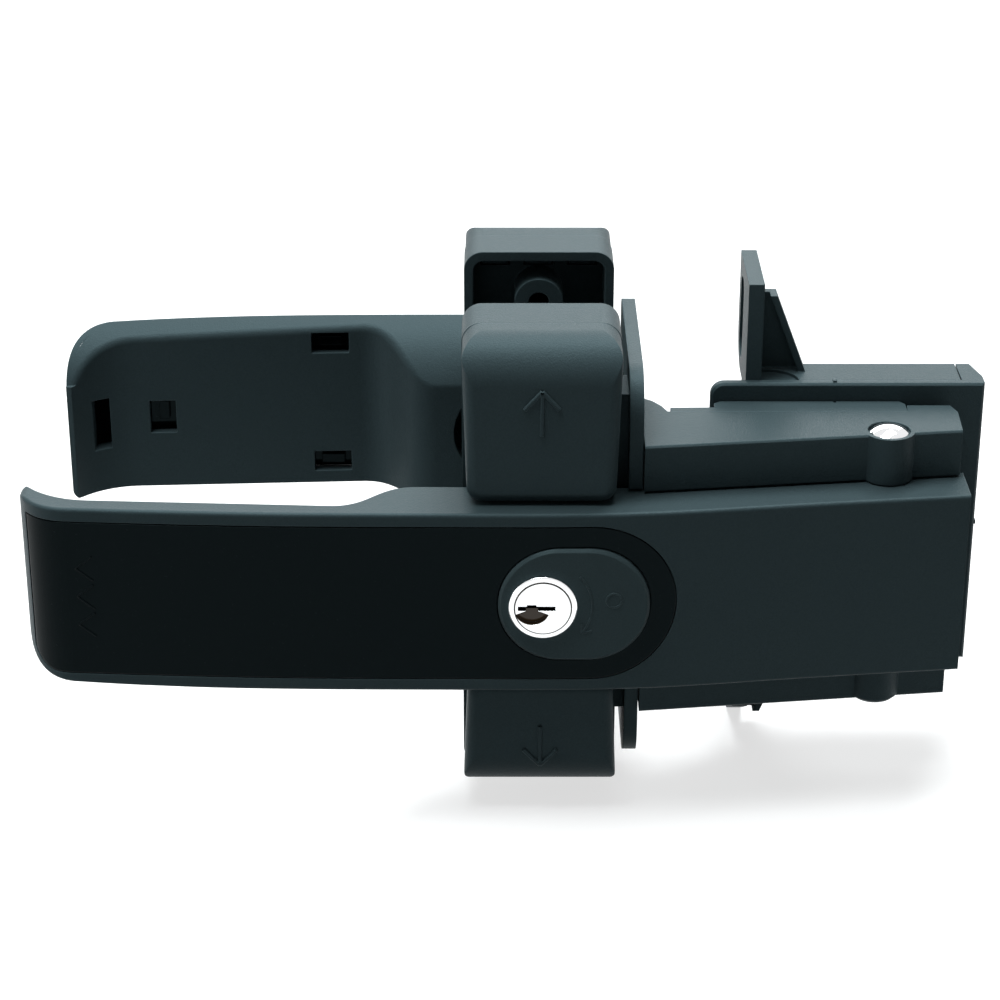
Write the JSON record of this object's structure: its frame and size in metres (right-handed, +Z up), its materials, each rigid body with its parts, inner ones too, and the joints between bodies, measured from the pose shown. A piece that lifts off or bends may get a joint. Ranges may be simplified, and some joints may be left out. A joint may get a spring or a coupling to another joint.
{
  "type": "magnetic gate latch",
  "caption": "Magnetic gate latch with key-locked pull handle, rear handle through the gate, side arm and slotted striker for the post.",
  "frame": {"origin": "on the front base's mounting face, at the covers' centre line and the front handle's mid-height", "axes": "+X along the gate towards the post, +Y into the gate, away from the side with the key, +Z up"},
  "size_m": [0.2437, 0.1195, 0.131],
  "materials": {
    "moulded_plastic": "fine moulded texture, matte charcoal",
    "gloss_panel": "high gloss black",
    "escutcheon_plastic": "satin charcoal",
    "polished_chrome": "polished",
    "plug_brass": "plated, brass in the keyway",
    "plated_steel": "zinc plated",
    "screw_steel": "stainless",
    "spring_steel": "drawn wire",
    "magnet_coating": "nickel coated",
    "sleeve_plastic": "plain black"
  },
  "bodies": {
    "root": {"front_base": "moulded_plastic", "front_upper_cover": "moulded_plastic", "front_lower_cover": "moulded_plastic", "latch_housing": "moulded_plastic", "housing_back_cover": "moulded_plastic", "back_cover_screws": "screw_steel", "arm_screws": "screw_steel", "pivot_pin": "polished_chrome", "pivot_clip": "plated_steel", "front_handle_spring": "spring_steel", "hook_pin": "plated_steel", "hook_spring": "spring_steel", "rod_sleeve": "sleeve_plastic", "rear_base": "moulded_plastic", "rear_upper_cover": "moulded_plastic", "rear_lower_cover": "moulded_plastic", "rear_pivot_pin": "plated_steel", "rear_handle_spring": "spring_steel", "striker_body": "moulded_plastic", "striker_cover": "moulded_plastic", "striker_magnet": "magnet_coating", "striker_screws": "screw_steel"},
    "front_handle": {"front_handle": "moulded_plastic", "front_handle_inlay": "gloss_panel", "lock_escutcheon": "escutcheon_plastic", "lock_barrel": "polished_chrome", "lock_nut": "plated_steel"},
    "key_plug": {"key_plug": "plug_brass", "lock_cam": "plated_steel", "cam_screw": "plated_steel"},
    "latch_hook": {"latch_hook": "moulded_plastic", "hook_armature": "plated_steel"},
    "rear_handle": {"rear_handle": "moulded_plastic", "rear_handle_inlay": "gloss_panel"},
    "rear_snib": {"rear_snib": "moulded_plastic"},
    "push_rod": {"push_rod": "plated_steel"}
  },
  "joints": [
    {"name": "front_handle_hinge", "type": "hinge", "parent": "root", "child": "front_handle", "pos_m": [0.0868, -0.0109, 0], "axis": [0, 0, 1], "range_deg": [0, 12], "stiffness_Nm_per_rad": 0.15, "springref_deg": -5.73},
    {"name": "latch_hook_hinge", "type": "hinge", "parent": "root", "child": "latch_hook", "pos_m": [0.068, -0.007, 0], "axis": [0, 0, 1], "range_deg": [-12.5, 0]},
    {"name": "key_turn", "type": "hinge", "parent": "front_handle", "child": "key_plug", "pos_m": [0.0004, -0.03, 0], "axis": [0, 1, 0], "range_deg": [0, 90]},
    {"name": "rear_handle_hinge", "type": "hinge", "parent": "root", "child": "rear_handle", "pos_m": [-0.004, 0.0585, 0.0098], "axis": [0, 0, -1], "range_deg": [0, 15], "stiffness_Nm_per_rad": 0.1, "springref_deg": -5.73},
    {"name": "push_rod_slide", "type": "slide", "parent": "root", "child": "push_rod", "axis": [0, -1, 0], "range_m": [0, 0.0054]},
    {"name": "rear_snib_turn", "type": "hinge", "parent": "rear_handle", "child": "rear_snib", "pos_m": [0.0086, 0.075, 0.0098], "axis": [0, 1, 0], "range_deg": [0, 90]}
  ],
  "couplings": [
    {"joint": "latch_hook_hinge", "follows": "front_handle_hinge", "ratio": -1},
    {"joint": "push_rod_slide", "follows": "rear_handle_hinge", "m_per_rad": 0.0202}
  ]
}
